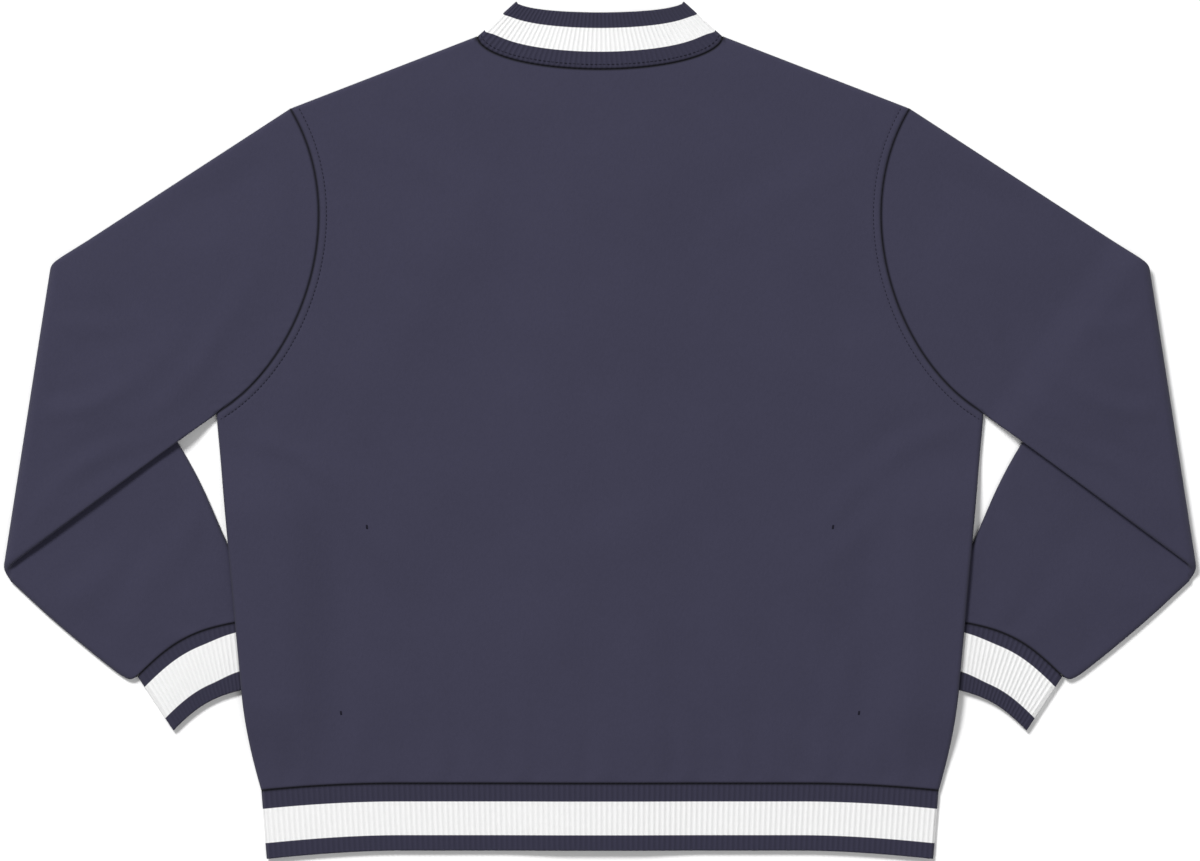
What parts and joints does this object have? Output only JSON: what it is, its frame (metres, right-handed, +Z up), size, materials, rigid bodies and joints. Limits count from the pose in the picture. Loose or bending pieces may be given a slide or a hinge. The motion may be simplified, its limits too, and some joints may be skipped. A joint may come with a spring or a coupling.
{
  "type": "varsity jacket laid flat",
  "caption": "Hip-length jacket with striped knit collar, cuffs and hem band, laid face down and smoothed flat, its sleeves folded under at the elbows.",
  "frame": {"origin": "on the surface that the jacket lies on, under the middle of its width and length", "axes": "+X to the right across the back as it shows, +Y from the hem towards the collar, +Z up from the surface"},
  "size_m": [1.0734, 0.7722, 0.0174],
  "materials": {
    "shell": "napped wool, matte",
    "knit": "rib knit, matte",
    "snap": "satin"
  },
  "bodies": {
    "root": {"back": "shell", "front_left": "shell", "front_right": "shell", "sleeve_left": "shell", "sleeve_right": "shell", "pocket_welt_left": "shell", "pocket_welt_right": "shell", "cuff_left": "knit", "cuff_right": "knit", "collar": "knit", "hem_band": "knit", "snap_1": "snap", "snap_2": "snap", "snap_3": "snap", "snap_4": "snap", "snap_5": "snap", "snap_6": "snap", "snap_7": "snap"}
  },
  "joints": []
}
